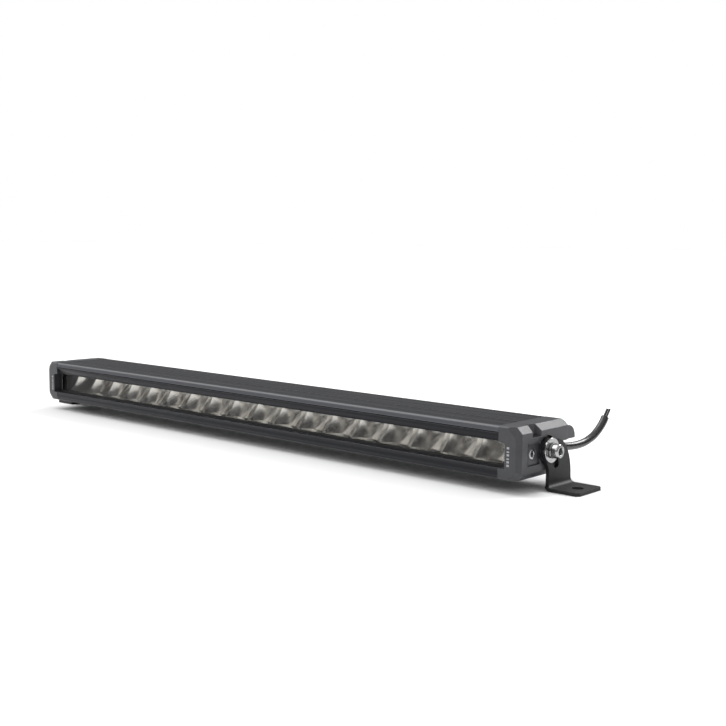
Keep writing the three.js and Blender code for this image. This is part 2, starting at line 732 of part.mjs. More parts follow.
addPair('end_gasket', endGasket(), silicone);
addPair('end_plate', endPlate(), anodised);
const plateScrewNames = ['lower_front', 'upper_front', 'lower_rear', 'upper_rear'];
PORTS.forEach((port, i) => addPair(`plate_screw_${plateScrewNames[i]}`, plateScrew(port), stainless));
addPair('end_cover', endCover(), coverPaint);
addPair('cover_screw_front', coverScrew(COVER_SCREWS[0]), stainless);
addPair('cover_screw_rear', coverScrew(COVER_SCREWS[1]), stainless);
addPair('threaded_insert', threadedInsert(), brass);
addPair('bracket', bracket(), bracketPaint);
addPair('flat_washer', flatWasher(), stainless);
addPair('spring_washer', springWasher(), stainless);
addPair('pivot_bolt', pivotBolt(), stainless);

add('cable_gland', cableGland(), darkPlastic);
add('vent_plug', mirrored(ventPlug()), darkPlastic);
add('cable', cable(), cableJacket);
add('core_wire_positive', coreWire(1), cableJacket);
add('core_wire_negative', coreWire(-1), cableJacket);

const group = new THREE.Group();
group.add(lightBar);

export default group;
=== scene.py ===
"""Looks of the slim LED light bar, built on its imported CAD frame.

Everything is in metres in the row frame. Bar millimetres, as the CAD part uses them, are x from the middle,
y behind the front face and z above the underside; mm() turns a point of them into row metres.
"""

import json
import math

import bmesh
import bpy
from mathutils import Matrix, Vector


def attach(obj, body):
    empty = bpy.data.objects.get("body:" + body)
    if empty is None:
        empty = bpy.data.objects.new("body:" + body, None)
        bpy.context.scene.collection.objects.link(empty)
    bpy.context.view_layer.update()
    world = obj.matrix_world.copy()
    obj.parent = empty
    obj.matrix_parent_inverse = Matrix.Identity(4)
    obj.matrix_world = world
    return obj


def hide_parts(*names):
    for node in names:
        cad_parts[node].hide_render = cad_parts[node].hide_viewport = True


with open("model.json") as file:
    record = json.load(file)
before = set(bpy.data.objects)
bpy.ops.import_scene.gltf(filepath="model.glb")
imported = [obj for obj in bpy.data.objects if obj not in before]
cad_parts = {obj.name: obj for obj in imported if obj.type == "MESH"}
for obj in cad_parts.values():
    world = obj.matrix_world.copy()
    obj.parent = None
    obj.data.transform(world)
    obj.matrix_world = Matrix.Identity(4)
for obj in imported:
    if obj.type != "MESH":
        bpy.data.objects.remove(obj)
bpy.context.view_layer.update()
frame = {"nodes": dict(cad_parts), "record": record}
scene = bpy.context.scene

DEPTH_CENTRE = 37.25               # from the front face back to the row frame's origin
FOOT_DROP = 10                     # from the bar's underside down to the floor
SIDE = 287.6                       # outer side face of an end cover
CELLS = 18
MODULES = 3
MODULE_CELLS = CELLS // MODULES
PITCH = 29.9                       # from one cell to the next
PIVOT = (0, 34.5, 19)              # a point on the axis of both clamp bolts
FIT = 0.2                          # gap between parts that lie against each other
BRACKET_INNER = SIDE + FIT         # inner face of a bracket's plate
PLATE = 2.5                        # thickness of that plate


def mm(x, y, z):
    """A point in bar millimetres as a point of the row frame."""
    return Vector((x, y - DEPTH_CENTRE, z + FOOT_DROP)) / 1000


# ---------------------------------------------------------------- camera

CAMERA_AT = (0.70184, -0.6675, 0.17232)
CAMERA_YAW = 41.526
CAMERA_PITCH = 6.171
CAMERA_ROLL = 0.731
CAMERA_LENS = 55.06


def add_camera():
    yaw, pitch, roll = (math.radians(a) for a in (CAMERA_YAW, CAMERA_PITCH, CAMERA_ROLL))
    forward = Vector((-math.sin(yaw) * math.cos(pitch), math.cos(yaw) * math.cos(pitch), -math.sin(pitch)))
    level = Vector((math.cos(yaw), math.sin(yaw), 0))
    up = level.cross(forward)
    right = level * math.cos(roll) + up * math.sin(roll)
    above = up * math.cos(roll) - level * math.sin(roll)
    data = bpy.data.cameras.new("camera")
    data.lens = CAMERA_LENS
    data.sensor_width = 36
    data.clip_start = 0.01
    data.clip_end = 100
    camera = bpy.data.objects.new("camera", data)
    turn = Matrix((right, above, -forward)).transposed().to_4x4()
    camera.matrix_world = Matrix.Translation(CAMERA_AT) @ turn
    scene.collection.objects.link(camera)
    scene.camera = camera


add_camera()

# ---------------------------------------------------------------- mesh helpers


def new_object(name, data, body, slot, replaced=(), material=None):
    """An object of that mesh or curve, in its slot's material if it has none of its own."""
    item = bpy.data.objects.new(name, data)
    scene.collection.objects.link(item)
    data.materials.append(material or SLOT_MATERIALS[slot])
    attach(item, body)
    if replaced:
        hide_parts(*replaced)
    return item


def smooth(mesh, degrees=32):
    """Smooth shading with the edges over that angle kept sharp."""
    for polygon in mesh.polygons:
        polygon.use_smooth = True
    mesh.set_sharp_from_angle(angle=math.radians(degrees))


def mesh_of(bm, name):
    """The mesh of a bmesh, which is then freed."""
    mesh = bpy.data.meshes.new(name)
    bm.to_mesh(mesh)
    bm.free()
    return mesh


def finished(bm, name):
    """The mesh of a bmesh, with doubled points merged and its faces turned outwards."""
    bmesh.ops.remove_doubles(bm, verts=bm.verts, dist=1e-7)
    bmesh.ops.recalc_face_normals(bm, faces=bm.faces)
    return mesh_of(bm, name)


def bridge(bm, near, far):
    """Faces between two closed rings with the same number of points."""
    for k in range(len(near)):
        j = (k + 1) % len(near)
        bm.faces.new((near[k], near[j], far[j], far[k]))


def turned_point(radius, angle, along, centre):
    """The point at that radius and angle about an axis along X through centre, all in bar mm."""
    x, y, z = centre
    return mm(x + along, y + radius * math.cos(angle), z + radius * math.sin(angle))


def lathe(profile, segments, centre):
    """A mesh turned about an axis along X through centre, in bar mm.

    The profile is (radius, distance along the axis), with "hex" after them where the ring is a hexagon whose
    flats are that far from the axis.
    """
    bm = bmesh.new()
    rings = []
    for radius, along, *shape in profile:
        ring = []
        for i in range(segments if radius > 0 else 1):
            angle = 2 * math.pi * i / segments
            stretch = 1 / math.cos(angle % (math.pi / 3) - math.pi / 6) if shape else 1
            ring.append(bm.verts.new(turned_point(radius * stretch, angle, along, centre)))
        rings.append(ring)
    for low, high in zip(rings, rings[1:]):
        for i in range(segments):
            j = (i + 1) % segments
            corners = [low[i % len(low)], low[j % len(low)], high[j % len(high)], high[i % len(high)]]
            face = list(dict.fromkeys(corners))
            if len(face) > 2:
                bm.faces.new(face)
    return finished(bm, "turned")


# ---------------------------------------------------------------- node helpers


class Nodes:
    """Short ways to add nodes to an emptied node tree."""

    def __init__(self, owner, output, place):
        """Empty the tree of a material or world, and take its coordinates of that kind."""
        owner.use_nodes = True
        self.tree = owner.node_tree
        self.tree.nodes.clear()
        self.output = self.add(output)
        self.place = self.add("ShaderNodeTexCoord").outputs[place]

    def add(self, kind, **values):
        node = self.tree.nodes.new(kind)
        for key, value in values.items():
            setattr(node, key, value)
        return node

    def link(self, source, target):
        self.tree.links.new(source, target)

    def feed(self, socket, value):
        """Put a plain number, a plain colour or another node's output into a socket."""
        if isinstance(value, (int, float)):
            socket.default_value = value
        elif isinstance(value, tuple):
            socket.default_value = (*value, 1)
        else:
            self.link(value, socket)

    def stretched(self, scale):
        """The coordinates times a scale per axis."""
        mapping = self.add("ShaderNodeMapping")
        mapping.inputs["Scale"].default_value = scale
        self.link(self.place, mapping.inputs["Vector"])
        return mapping.outputs["Vector"]

    def noise(self, scale, detail=3, rough=0.55, stretch=None):
        node = self.add("ShaderNodeTexNoise")
        node.inputs["Scale"].default_value = scale
        node.inputs["Detail"].default_value = detail
        node.inputs["Roughness"].default_value = rough
        self.link(self.stretched(stretch) if stretch else self.place, node.inputs["Vector"])
        return node.outputs["Fac"]

    def axes(self):
        """The coordinates, one by one."""
        split = self.add("ShaderNodeSeparateXYZ")
        self.link(self.place, split.inputs[0])
        return split.outputs

    def ramp(self, value, stops):
        node = self.add("ShaderNodeValToRGB")
        elements = node.color_ramp.elements
        while len(elements) < len(stops):
            elements.new(0.5)
        for element, (position, colour) in zip(elements, stops):
            element.position = position
            element.color = (*colour, 1)
        self.link(value, node.inputs["Fac"])
        return node.outputs["Color"]

    def span(self, value, low, high, to_low, to_high, curve="LINEAR"):
        node = self.add("ShaderNodeMapRange", interpolation_type=curve)
        for key, number in zip(("From Min", "From Max", "To Min", "To Max"), (low, high, to_low, to_high)):
            node.inputs[key].default_value = number
        self.link(value, node.inputs["Value"])
        return node.outputs["Result"]

    def band(self, value, low, high, soft=0.00008):
        """1 between low and high and 0 outside them, with soft edges."""
        rise = self.span(value, low - soft, low + soft, 0, 1)
        fall = self.span(value, high - soft, high + soft, 1, 0)
        return self.maths("MULTIPLY", rise, fall)

    def bar_box(self, y, z):
        """1 inside a range of depths and heights of the bar in mm, all along its length."""
        axes = self.axes()
        deep = self.band(axes["Y"], (y[0] - DEPTH_CENTRE) / 1000, (y[1] - DEPTH_CENTRE) / 1000)
        tall = self.band(axes["Z"], (z[0] + FOOT_DROP) / 1000, (z[1] + FOOT_DROP) / 1000)
        return self.maths("MULTIPLY", deep, tall)

    def maths(self, operation, a, b, clamp=False):
        node = self.add("ShaderNodeMath", operation=operation, use_clamp=clamp)
        self.feed(node.inputs[0], a)
        self.feed(node.inputs[1], b)
        return node.outputs[0]

    def blend(self, factor, a, b):
        """The colour a where factor is 0 and b where it is 1."""
        node = self.add("ShaderNodeMix", data_type="RGBA")
        for index, value in ((0, factor), (6, a), (7, b)):
            self.feed(node.inputs[index], value)
        return node.outputs[2]

    def mixed(self, factor, a, b):
        """The shader a where factor is 0 and b where it is 1."""
        node = self.add("ShaderNodeMixShader")
        for index, value in enumerate((factor, a, b)):
            self.link(value, node.inputs[index])
        return node.outputs[0]

    def bumped(self, heights, rounding=None):
        """A normal from (height, distance in metres) pairs, over edges rounded by that many metres."""
        normal = None
        if rounding:
            bevel = self.add("ShaderNodeBevel", samples=6)
            bevel.inputs["Radius"].default_value = rounding
            normal = bevel.outputs["Normal"]
        for height, distance in heights:
            bump = self.add("ShaderNodeBump")
            bump.inputs["Distance"].default_value = distance
            self.link(height, bump.inputs["Height"])
            if normal:
                self.link(normal, bump.inputs["Normal"])
            normal = bump.outputs["Normal"]
        return normal

    def edge_wear(self, radius, gain):
        """Nearly 1 on outside edges and 0 on flats, from how far a rounded normal leans off the true one."""
        bevel = self.add("ShaderNodeBevel", samples=6)
        bevel.inputs["Radius"].default_value = radius
        geometry = self.add("ShaderNodeNewGeometry")
        dot = self.add("ShaderNodeVectorMath", operation="DOT_PRODUCT")
        self.link(bevel.outputs["Normal"], dot.inputs[0])
        self.link(geometry.outputs["Normal"], dot.inputs[1])
        lean = self.maths("SUBTRACT", 1.0, dot.outputs["Value"])
        return self.maths("MULTIPLY", lean, gain, clamp=True)

    def plain_shader(self, kind, colour):
        node = self.add(kind)
        self.feed(node.inputs["Color"], colour)
        return node.outputs[0]

    def principled(self, colour, rough, **plain):
        """A Principled shader. Plain values go on its own sockets."""
        node = self.add("ShaderNodeBsdfPrincipled")
        self.feed(node.inputs["Base Color"], colour)
        self.feed(node.inputs["Roughness"], rough)
        for key, value in plain.items():
            node.inputs[key.replace("_", " ")].default_value = value
        return node

    def finish(self, shader):
        self.link(shader, self.output.inputs["Surface"])


class Surface(Nodes):
    """The nodes of a new material, in its object's own coordinates."""

    def __init__(self, name):
        self.material = bpy.data.materials.new(name)
        super().__init__(self.material, "ShaderNodeOutputMaterial", "Object")

    def shader(self, colour, rough, normal=None, **plain):
        """A Principled shader as the whole surface, and the finished material."""
        node = self.principled(colour, rough, **plain)
        if normal:
            self.link(normal, node.inputs["Normal"])
        self.finish(node.outputs[0])
        return self.material


# ---------------------------------------------------------------- materials

# Parts of the housing painted lighter or darker to stand in for light and shade, as their depths and heights
# in bar mm: the lit front lip, the highlight on the top front edge and the shaded grooves.
LIT_FRONT_LIP = ((-1, 1.2), (33.6, 36.6))
ARRIS_HIGHLIGHT = ((-1, 1.7), (36.6, 38))
TOP_GROOVE = (36.5, 37.72)
SHADED_GROOVES = [
    ((0.15, 3), (32.8, 33.7)),
    ((9.0, 11.0), TOP_GROOVE),
    ((23.4, 26.6), TOP_GROOVE),
    ((53.9, 57.1), TOP_GROOVE),
]


def anodised_material():
    """Black anodised extrusion: die lines along the bar, a satin bloom and bare edges, with painted light on
    the front lip, a painted highlight on the top front edge and painted shade in the grooves.
    """
    n = Surface("black_anodised")
    lines = n.noise(900, 2, 0.5, (0.004, 1, 1))
    bands = n.noise(320, 2, 0.5, (0.002, 1, 1))
    bloom = n.noise(22, 4, 0.6)
    grain = n.noise(5200, 2, 0.6)
    base = n.ramp(bloom, [(0.3, (0.026, 0.0265, 0.030)), (0.75, (0.036, 0.0365, 0.041))])
    streaked = n.blend(n.span(lines, 0.4, 0.62, 0, 0.6), base, (0.014, 0.0145, 0.017))
    banded = n.blend(n.span(bands, 0.45, 0.58, 0, 0.85), streaked, (0.008, 0.0085, 0.011))
    # Painted light: the front lip is painted lighter, as if lit from above and in front.
    painted_lit_lip = n.blend(n.bar_box(*LIT_FRONT_LIP), banded, (0.066, 0.067, 0.074))
    # Painted highlight: a light strip along the rounded top front edge.
    painted_highlight_arris = n.blend(n.bar_box(*ARRIS_HIGHLIGHT), painted_lit_lip, (0.125, 0.127, 0.135))
    toned = n.blend(n.edge_wear(0.0006, 1.6), painted_highlight_arris, (0.20, 0.205, 0.22))
    # Painted shade: the grooves are painted nearly black, as shade in their recesses.
    for groove in SHADED_GROOVES:
        toned = n.blend(n.bar_box(*groove), toned, (0.003, 0.003, 0.004))
    rough = n.span(bands, 0.38, 0.62, 0.20, 0.42)
    normal = n.bumped([(lines, 0.00002), (grain, 0.000008)], 0.0003)
    return n.shader(toned, rough, normal, Specular_IOR_Level=0.17)


def cast_material():
    """Die-cast aluminium under a fine dark grey powder coat."""
    n = Surface("cast_powder_coat")
    grain = n.noise(3400, 3, 0.6)
    pores = n.noise(1300, 4, 0.65)
    cloud = n.noise(70, 3, 0.6)
    base = n.ramp(cloud, [(0.3, (0.033, 0.0335, 0.038)), (0.75, (0.044, 0.045, 0.050))])
    flecks = n.blend(n.span(grain, 0.55, 0.75, 0, 0.6), base, (0.085, 0.087, 0.094))
    toned = n.blend(n.edge_wear(0.0006, 0.8), flecks, (0.16, 0.163, 0.172))
    rough = n.span(pores, 0.3, 0.7, 0.32, 0.44)
    normal = n.bumped([(pores, 0.00003), (grain, 0.000015)], 0.0005)
    return n.shader(toned, rough, normal, Specular_IOR_Level=0.38)


def bracket_material():
    """Bent steel plate under black powder coat, with a fine orange-peel."""
    n = Surface("bracket_powder_coat")
    peel = n.noise(2100, 3, 0.55)
    cloud = n.noise(60, 3, 0.6)
    base = n.ramp(cloud, [(0.3, (0.012, 0.012, 0.0135)), (0.75, (0.018, 0.018, 0.0195))])
    toned = n.blend(n.edge_wear(0.0004, 0.7), base, (0.050, 0.051, 0.055))
    rough = n.span(peel, 0.3, 0.7, 0.42, 0.58)
    normal = n.bumped([(peel, 0.000025)], 0.0003)
    return n.shader(toned, rough, normal, Specular_IOR_Level=0.26)


def steel_material():
    """Turned stainless steel, with fine tool rings and a little smearing."""
    n = Surface("turned_stainless")
    fine = n.noise(4200, 2, 0.6)
    smear = n.noise(420, 3, 0.6)
    base = n.ramp(smear, [(0.3, (0.29, 0.29, 0.295)), (0.7, (0.41, 0.41, 0.415))])
    rough = n.span(fine, 0.3, 0.7, 0.16, 0.27)
    normal = n.bumped([(fine, 0.000006)], 0.0002)
    return n.shader(base, rough, normal, Metallic=1.0)


def brass_material():
    n = Surface("turned_brass")
    fine = n.noise(3800, 2, 0.6)
    base = n.ramp(n.noise(300), [(0.3, (0.55, 0.38, 0.13)), (0.7, (0.68, 0.49, 0.2))])
    normal = n.bumped([(fine, 0.00001)], 0.0002)
    return n.shader(base, n.span(fine, 0.3, 0.7, 0.2, 0.34), normal, Metallic=1.0)


def plate_material():
    """Milled aluminium blacked by anodising: the end walls inside the window."""
    n = Surface("black_end_plate")
    mill = n.noise(1400, 2, 0.5, (1, 0.05, 1))
    base = n.ramp(mill, [(0.3, (0.012, 0.012, 0.013)), (0.7, (0.022, 0.022, 0.024))])
    return n.shader(base, n.span(mill, 0.3, 0.7, 0.4, 0.55), n.bumped([(mill, 0.00001)], 0.0003))


def silicone_material():
    n = Surface("black_silicone")
    dust = n.noise(2600, 4, 0.7)
    base = n.ramp(dust, [(0.4, (0.006, 0.006, 0.0065)), (0.75, (0.016, 0.016, 0.017))])
    return n.shader(base, n.span(dust, 0.3, 0.7, 0.55, 0.75), n.bumped([(dust, 0.00002)], 0.0002))


def nylon_material():
    n = Surface("black_nylon")
    grain = n.noise(2400, 3, 0.6)
    base = n.ramp(grain, [(0.35, (0.012, 0.012, 0.0125)), (0.7, (0.022, 0.022, 0.023))])
    return n.shader(base, n.span(grain, 0.3, 0.7, 0.34, 0.5), n.bumped([(grain, 0.00002)], 0.0003))


def jacket_material():
    """The cable's glossy jacket, with faint extrusion lines and handling marks."""
    n = Surface("glossy_jacket")
    scuff = n.noise(500, 4, 0.65)
    fine = n.noise(3000, 2, 0.5)
    base = n.ramp(scuff, [(0.4, (0.008, 0.008, 0.0085)), (0.8, (0.018, 0.018, 0.019))])
    rough = n.span(scuff, 0.3, 0.75, 0.16, 0.34)
    return n.shader(base, rough, n.bumped([(fine, 0.00001), (scuff, 0.00003)]), Specular_IOR_Level=0.6)


def core_material():
    n = Surface("core_insulation")
    scuff = n.noise(1500, 3, 0.6)
    base = n.ramp(scuff, [(0.4, (0.010, 0.010, 0.011)), (0.8, (0.020, 0.020, 0.021))])
    return n.shader(base, n.span(scuff, 0.3, 0.75, 0.3, 0.45), n.bumped([(scuff, 0.00001)]))


def mirror_material():
    """Vacuum-metallised reflector, very slightly rippled and a touch warm."""
    n = Surface("metallised_mirror")
    ripple = n.noise(160, 2, 0.5)
    haze = n.noise(900, 3, 0.6)
    base = n.ramp(ripple, [(0.3, (0.80, 0.785, 0.76)), (0.7, (0.88, 0.865, 0.84))])
    return n.shader(base, n.span(haze, 0.3, 0.7, 0.13, 0.19), n.bumped([(ripple, 0.00003)]), Metallic=0.96)


def board_material():
    """The LED board's mask: dull white with faint copper shadows of its tracks."""
    n = Surface("led_board_mask")
    cloud = n.noise(40, 3, 0.6)
    base = n.ramp(cloud, [(0.3, (0.30, 0.30, 0.28)), (0.7, (0.38, 0.38, 0.35))])
    return n.shader(base, n.span(cloud, 0.3, 0.7, 0.4, 0.5))


def circuit_material():
    n = Surface("green_circuit_mask")
    track = n.noise(420, 2, 0.4)
    base = n.ramp(track, [(0.46, (0.012, 0.09, 0.035)), (0.54, (0.02, 0.14, 0.06))])
    return n.shader(base, n.span(track, 0.4, 0.6, 0.3, 0.42), n.bumped([(track, 0.00002)]))


def led_material():
    """Yellow phosphor under a clear dome on a pale package."""
    n = Surface("led_phosphor")
    cloud = n.noise(900, 2, 0.5)
    base = n.ramp(cloud, [(0.3, (0.52, 0.44, 0.20)), (0.7, (0.70, 0.61, 0.32))])
    return n.shader(base, n.span(cloud, 0.3, 0.7, 0.12, 0.2), Coat_Weight=0.6, Coat_Roughness=0.05)


LENS_END = 0.27465                 # in metres, just inside the lens's end faces
LENS_IOR = 1.12


def lens_material():
    """Clear polycarbonate with frosted sawn ends. Lamps shine through it, so what is behind stays lit."""
    n = Surface("clear_lens")
    tint = n.ramp(n.noise(300, 3, 0.6), [(0.3, (0.95, 0.955, 0.95)), (0.7, (0.965, 0.97, 0.965))])
    glass = n.principled(tint, 0, IOR=LENS_IOR, Transmission_Weight=1)
    clear = n.plain_shader("ShaderNodeBsdfTransparent", (0.93, 0.935, 0.93))
    shadow_ray = n.add("ShaderNodeLightPath").outputs["Is Shadow Ray"]
    pane = n.mixed(shadow_ray, glass.outputs[0], clear)
    sawn = n.plain_shader("ShaderNodeBsdfDiffuse", (0.85, 0.86, 0.85))
    at_end = n.maths("GREATER_THAN", n.maths("ABSOLUTE", n.axes()["X"], 0), LENS_END)
    n.finish(n.mixed(at_end, pane, sawn))
    return n.material


def mark_material():
    n = Surface("pale_print")
    wear = n.noise(2600, 2, 0.6)
    base = n.ramp(wear, [(0.35, (0.24, 0.24, 0.25)), (0.6, (0.34, 0.34, 0.35))])
    return n.shader(base, n.span(wear, 0.3, 0.7, 0.45, 0.6))


SLOT_MATERIALS = {
    "housing_anodised": anodised_material(),
    "cover_paint": cast_material(),
    "bracket_paint": bracket_material(),
    "stainless": steel_material(),
    "brass_insert": brass_material(),
    "plate_aluminium": plate_material(),
    "silicone_black": silicone_material(),
    "plastic_black": nylon_material(),
    "cable_jacket": jacket_material(),
    "core_insulation": core_material(),
    "reflector_mirror": mirror_material(),
    "board_white": board_material(),
    "circuit_green": circuit_material(),
    "led_phosphor": led_material(),
    "lens_clear": lens_material(),
}

SLOT_OF = {part["node"]: part["material_slot"] for part in frame["record"]["subparts"]}
for node, item in frame["nodes"].items():
    item.data.materials.clear()
    item.data.materials.append(SLOT_MATERIALS[SLOT_OF[node]])

# ---------------------------------------------------------------- cable

CABLE_ROUTE = [
    (277.4, 47.0, 16.5), (277.4, 52.0, 16.5), (277.4, 57.5, 16.5), (277.4, 63.2, 16.3),
    (277.5, 69.0, 15.6), (277.8, 75.0, 14.8), (278.2, 81.0, 14.3), (278.6, 87.0, 14.1),
    (279.1, 93.0, 14.3), (279.7, 99.0, 15.1), (280.3, 104.8, 16.7), (280.9, 110.2, 18.9),
    (281.4, 115.0, 21.9), (281.8, 119.2, 25.3), (282.0, 122.4, 28.4), (282.1, 124.9, 31.6),
]
CABLE_DIAMETER = 0.006             # in metres
ROUTE_STEPS = 8                    # points of the smooth route from one point of CABLE_ROUTE to the next
CORE_LENGTH = 7.0
CORE_RADIUS = 0.85
CORE_SPREAD = 1                    # from the cable's middle to each core's
CORE_START = 0.4                   # from the jacket's cut end to where the cores start
CORE_STEPS = 6


def smooth_route(points):
    """Catmull-Rom points through the route, ends included."""
    padded = [points[0] * 2 - points[1], *points, points[-1] * 2 - points[-2]]
    out = []
    for a, b, c, d in zip(padded, padded[1:], padded[2:], padded[3:]):
        for i in range(ROUTE_STEPS):
            t = i / ROUTE_STEPS
            out.append(0.5 * (2 * b + (c - a) * t + (2 * a - 5 * b + 4 * c - d) * t * t
                              + (3 * b - a - 3 * c + d) * t ** 3))
    out.append(points[-1])
    return out


def tube(name, points, radius, slot, node):
    """A round tube on the bar in place of a node, along points and with a radius in metres."""
    curve = bpy.data.curves.new(name, "CURVE")
    curve.dimensions = "3D"
    curve.bevel_depth = radius
    curve.bevel_resolution = 6
    curve.use_fill_caps = True
    spline = curve.splines.new("POLY")
    spline.points.add(len(points) - 1)
    for target, point in zip(spline.points, points):
        target.co = (*point, 1)
    spline.use_smooth = True
    return new_object(name, curve, "bar", slot, [node])


route = smooth_route([mm(*p) for p in CABLE_ROUTE])
jacket = tube("cable_jacket", route, CABLE_DIAMETER / 2, "cable_jacket", "cable")

heading = (route[-1] - route[-1 - ROUTE_STEPS]).normalized()
for sign, pole in ((1, "positive"), (-1, "negative")):
    root = route[-1] + heading * CORE_START / 1000 + Vector((sign * CORE_SPREAD / 1000, 0, 0))
    line = [root + heading * CORE_LENGTH / 1000 * k / CORE_STEPS for k in range(CORE_STEPS + 1)]
    tube(f"core_lead_{pole}", line, CORE_RADIUS / 1000, "core_insulation", f"core_wire_{pole}")

# ---------------------------------------------------------------- reflectors

FOCAL = 9.0
VERTEX = 34.3
FOCUS = VERTEX - FOCAL             # depth of the line on which the LEDs sit
FRONT = 12.0
REFLECTOR_Z = (8.4, 31.0)
CUSP = 0.55                        # width of the rounding on each side of a ridge between cells
MODULE_GAP = 0.1                   # from a module's end to the edge of its outer cell
CELL_COLUMNS = 30
BOWL_ROWS = 26
BOWL_WALL = 1.5
CREASE = 60                        # in degrees, from which a mirror's edge is sharp


def bowl_depth(across, z):
    """Depth of the mirror at that distance from a cell's middle and that height, with its cusps rounded."""
    near = max(PITCH / 2 - abs(across), 0)
    flank = PITCH / 2 - max(near, CUSP)
    depth = VERTEX - (flank ** 2 + (REFLECTOR_Z[1] - z) ** 2) / (4 * FOCAL)
    if near < CUSP:
        slope = flank / (2 * FOCAL)
        depth -= slope * (CUSP / 2) * (1 - (near / CUSP) ** 2)
    return depth


def module_ends(first_cell):
    """Where the module with that first cell starts and ends along the bar."""
    start = (first_cell - CELLS / 2) * PITCH + MODULE_GAP
    end = (first_cell + MODULE_CELLS - CELLS / 2) * PITCH - MODULE_GAP
    return start, end


def reflector_mesh(first_cell):
    """The mirrored skin of one module's bowls, from their lower edge up to the ceiling."""
    start, end = module_ends(first_cell)
    columns = CELL_COLUMNS * MODULE_CELLS
    bm = bmesh.new()
    grid = []
    for j in range(BOWL_ROWS + 1):
        z = REFLECTOR_Z[0] + (REFLECTOR_Z[1] - REFLECTOR_Z[0]) * j / BOWL_ROWS
        row = []
        for i in range(columns + 1):
            x = start + (end - start) * i / columns
            middle = (math.floor(x / PITCH) + 0.5) * PITCH
            row.append(bm.verts.new(mm(x, max(bowl_depth(x - middle, z), FRONT), z)))
        grid.append(row)
    for low, high in zip(grid, grid[1:]):
        for i in range(columns):
            bm.faces.new((low[i], low[i + 1], high[i + 1], high[i]))
    return mesh_of(bm, "reflector")


CEILING_Y = (17.7, 36)
CEILING_Z = 30.9
CEILING_WALL = 1.2
LED_HOLE = 3
HOLE_STEPS = 48


def edge_distance(x, y, low, high):
    """How far the rectangle's edge is from the origin in the direction of (x, y)."""
    reach_x = (high[0] if x > 0 else low[0]) / x if abs(x) > 1e-9 else math.inf
    reach_y = (high[1] if y > 0 else low[1]) / y if abs(y) > 1e-9 else math.inf
    return min(reach_x, reach_y)


def ceiling_mesh(first_cell):
    """The metallised ceiling over one module, with a round hole for each LED."""
    last_cell = first_cell + MODULE_CELLS - 1
    bm = bmesh.new()
    for cell in range(first_cell, last_cell + 1):
        middle = (cell - (CELLS - 1) / 2) * PITCH
        low = (-PITCH / 2 + (MODULE_GAP if cell == first_cell else 0), CEILING_Y[0] - FOCUS)
        high = (PITCH / 2 - (MODULE_GAP if cell == last_cell else 0), CEILING_Y[1] - FOCUS)
        angles = [2 * math.pi * k / HOLE_STEPS for k in range(HOLE_STEPS)]
        angles += [math.atan2(y, x) % (2 * math.pi) for x in (low[0], high[0]) for y in (low[1], high[1])]
        inner, outer = [], []
        for angle in sorted(angles):
            x, y = math.cos(angle), math.sin(angle)
            reach = edge_distance(x, y, low, high)
            inner.append(bm.verts.new(mm(middle + x * LED_HOLE, FOCUS + y * LED_HOLE, CEILING_Z)))
            outer.append(bm.verts.new(mm(middle + x * reach, FOCUS + y * reach, CEILING_Z)))
        bridge(bm, inner, outer)
    bmesh.ops.remove_doubles(bm, verts=bm.verts, dist=1e-7)
    return mesh_of(bm, "ceiling")


# The (depth, height) outlines of the flange in front of the ceiling and of the floor below the bowls.
FLANGE_OUTLINE = [(11.8, 29.0), (18.7, 29.0), (18.7, 30.9), (17.7, 30.9), (17.7, 30.0), (11.8, 30.0)]
FLOOR_OUTLINE = [(12.0, 8.2), (22.4, 8.2), (22.4, 9.2), (12.0, 9.2)]


def trim_mesh(first_cell):
    """The flange and the floor of one module."""
    start, end = module_ends(first_cell)
    bm = bmesh.new()
    for outline in (FLANGE_OUTLINE, FLOOR_OUTLINE):
        near = [bm.verts.new(mm(start, y, z)) for y, z in outline]
        far = [bm.verts.new(mm(end, y, z)) for y, z in outline]
        bm.faces.new(list(reversed(near)))
        bm.faces.new(far)
        bridge(bm, near, far)
    return mesh_of(bm, "reflector_trim")


def add_wall(item, thickness):
    """Thicken a mirror's skin behind its bright side, by millimetres."""
    wall = item.modifiers.new("wall", "SOLIDIFY")
    wall.thickness = thickness / 1000
    wall.offset = -1


for number in range(1, MODULES + 1):
    first_cell = (number - 1) * MODULE_CELLS
    place = ("bar", "reflector_mirror", [f"reflector_module_{number}"])
    new_object(f"mirror_trim_{number}", trim_mesh(first_cell), *place)
    ceiling = new_object(f"mirror_ceiling_{number}", ceiling_mesh(first_cell), *place)
    add_wall(ceiling, CEILING_WALL)
    bowls = new_object(f"mirror_{number}", reflector_mesh(first_cell), *place)
    add_wall(bowls, BOWL_WALL)
    smooth(bowls.data, CREASE)
    rim = bowls.modifiers.new("crisp_rim", "EDGE_SPLIT")
    rim.split_angle = math.radians(CREASE)

# ---------------------------------------------------------------- fasteners

WASHER = {"outer": 9, "inner": 3.3, "thick": 1.6}
SPRING = {"outer": 5.6, "inner": 3.3, "thick": 1.5, "gap": 1}
BOLT = {"radius": 3, "head": 5.2, "head_length": 5, "crown": 1.5, "reach": 16.6, "socket": 2.5}
WASHER_START = BRACKET_INNER + PLATE + FIT
SPRING_START = WASHER_START + WASHER["thick"] + FIT
HEAD_START = SPRING_START + SPRING["thick"] + FIT
SCREW_SEGMENTS = 48
WASHER_SEGMENTS = 64
COVER_SCREW = {"shank": 1.9, "head": 3.9, "head_depth": 2.2, "length": 15, "socket": 1.3}
# For each cover screw, its depth, its height and how far out the face of its head is.
COVER_SCREWS = {"front": (18.2, 17.8, SIDE - 1.5), "rear": (52, 7.5, SIDE - 0.1)}


